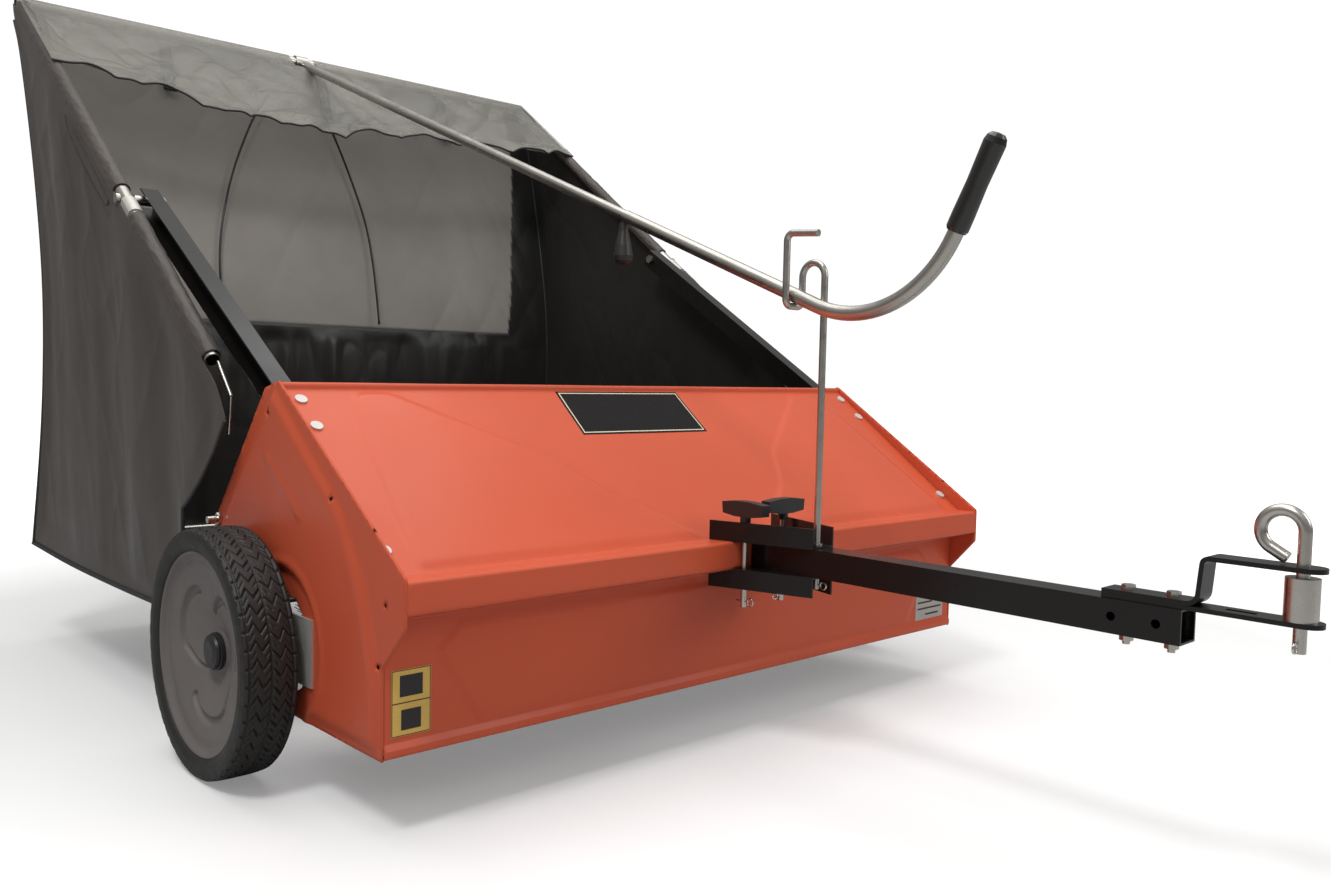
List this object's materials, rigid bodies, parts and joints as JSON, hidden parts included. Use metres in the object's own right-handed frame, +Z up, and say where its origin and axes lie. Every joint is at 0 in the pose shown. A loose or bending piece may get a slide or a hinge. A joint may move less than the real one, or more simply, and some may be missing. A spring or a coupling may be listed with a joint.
{
  "type": "lawn sweeper",
  "caption": "Tow-behind lawn sweeper: a ground-driven brush in a sheet-metal housing throws debris into a fabric hopper that dumps over the rear by a long handle.",
  "frame": {"origin": "on the ground under the middle of the overall box", "axes": "+Z up, -Y towards the hitch, +Y towards the hopper, +X to the machine's left seen from the hitch's side"},
  "size_m": [1.322, 2.189, 1.2509],
  "materials": {
    "orange_paint": "glossy orange-red powder coat",
    "zinc": "bright zinc plate",
    "spring_wire": "plated spring wire",
    "screw_paint": "plated button heads",
    "black_paint": "glossy black paint",
    "badge": "printed film, plain",
    "label": "printed film, plain",
    "knob_plastic": "moulded black plastic",
    "tyre_rubber": "semi-pneumatic rubber",
    "wheel_plastic": "moulded grey plastic",
    "nylon": "nylon",
    "pinion_steel": "sintered steel",
    "bristle": "polypropylene bristle",
    "stay_plastic": "glass-fibre rod",
    "hopper_cloth": "coated woven polyester",
    "hopper_mesh": "open polyester mesh",
    "grip_rubber": "glossy dipped grip"
  },
  "bodies": {
    "chassis": {"hood_panel": "orange_paint", "side_plate_left": "orange_paint", "side_plate_right": "orange_paint", "rear_tie_rod": "zinc", "badge_plate": "badge", "front_label": "label", "hood_screws": "screw_paint", "arm_left": "black_paint", "arm_right": "black_paint", "pivot_bolts": "zinc", "axles": "zinc", "bearing_carriers": "zinc", "drawbar": "black_paint", "clamp_upper": "black_paint", "clamp_lower": "black_paint", "support_rod": "zinc", "hitch_strap_lower": "black_paint", "hitch_strap_upper": "black_paint", "hitch_bolts": "zinc", "hitch_nuts": "zinc", "hitch_spacers": "zinc"},
    "rod_clip": {"support_rod_clip": "spring_wire"},
    "hitch_pin": {"hitch_pin": "zinc"},
    "hitch_clip": {"hitch_clip": "spring_wire"},
    "knob_left": {"knob_left_grip": "knob_plastic", "knob_left_bolt": "zinc", "knob_left_clip": "spring_wire"},
    "knob_right": {"knob_right_grip": "knob_plastic", "knob_right_bolt": "zinc", "knob_right_clip": "spring_wire"},
    "wheel_left": {"tyre_left": "tyre_rubber", "wheel_disc_left": "wheel_plastic", "wheel_bush_left": "nylon", "hub_cap_left": "knob_plastic"},
    "wheel_right": {"tyre_right": "tyre_rubber", "wheel_disc_right": "wheel_plastic", "wheel_bush_right": "nylon", "hub_cap_right": "knob_plastic"},
    "brush": {"brush_shaft": "zinc", "brush_core": "black_paint", "brush_strips": "bristle", "pinions": "pinion_steel"},
    "hopper": {"hopper_tube_left": "zinc", "hopper_tube_right": "zinc", "hopper_top_bar": "zinc", "hopper_rods": "zinc", "pivot_clamps": "zinc", "bag_hooks": "zinc", "bag_stays": "stay_plastic", "bag_side_left": "hopper_cloth", "bag_side_right": "hopper_cloth", "bag_back_mesh": "hopper_mesh", "bag_back_cloth": "hopper_cloth", "bag_floor": "hopper_cloth", "bag_flap": "hopper_mesh"},
    "dump_handle": {"dump_tube_rear": "zinc", "dump_tube_front": "zinc", "dump_grip": "grip_rubber", "tube_joint_knob": "knob_plastic"}
  },
  "joints": [
    {"name": "wheel_left_spin", "type": "hinge", "parent": "chassis", "child": "wheel_left", "pos_m": [-0.6255, 0.0245, 0.164], "axis": [1, 0, 0], "continuous": true},
    {"name": "wheel_right_spin", "type": "hinge", "parent": "chassis", "child": "wheel_right", "pos_m": [0.6255, 0.0245, 0.164], "axis": [1, 0, 0], "continuous": true},
    {"name": "brush_spin", "type": "hinge", "parent": "chassis", "child": "brush", "pos_m": [0, -0.06532, 0.18391], "axis": [1, 0, 0], "continuous": true},
    {"name": "hopper_dump", "type": "hinge", "parent": "chassis", "child": "hopper", "pos_m": [0, 0.4795, 0.8], "axis": [1, 0, 0], "range_deg": [0, 85]},
    {"name": "handle_swing", "type": "hinge", "parent": "hopper", "child": "dump_handle", "pos_m": [-0.018, 1.0795, 1.23593], "axis": [1, 0, 0], "range_deg": [-85, 0]},
    {"name": "knob_left_turn", "type": "hinge", "parent": "chassis", "child": "knob_left", "pos_m": [-0.04, -0.3685, 0.34], "axis": [0, 0, 1], "range_deg": [0, 450]},
    {"name": "knob_right_turn", "type": "hinge", "parent": "chassis", "child": "knob_right", "pos_m": [0.04, -0.3685, 0.34], "axis": [0, 0, 1], "range_deg": [0, 450]},
    {"name": "hitch_pin_lift", "type": "slide", "parent": "chassis", "child": "hitch_pin", "axis": [0, 0, 1], "range_m": [0, 0.013]},
    {"name": "hitch_clip_pull", "type": "slide", "parent": "hitch_pin", "child": "hitch_clip", "axis": [-1, 0, 0], "range_m": [0, 0.03]},
    {"name": "rod_clip_pull", "type": "slide", "parent": "chassis", "child": "rod_clip", "axis": [0, -1, 0], "range_m": [0, 0.03]}
  ],
  "couplings": [
    {"joint": "wheel_right_spin", "follows": "wheel_left_spin", "ratio": 1},
    {"joint": "brush_spin", "follows": "wheel_left_spin", "ratio": 5.6},
    {"joint": "handle_swing", "follows": "hopper_dump", "ratio": -1}
  ]
}
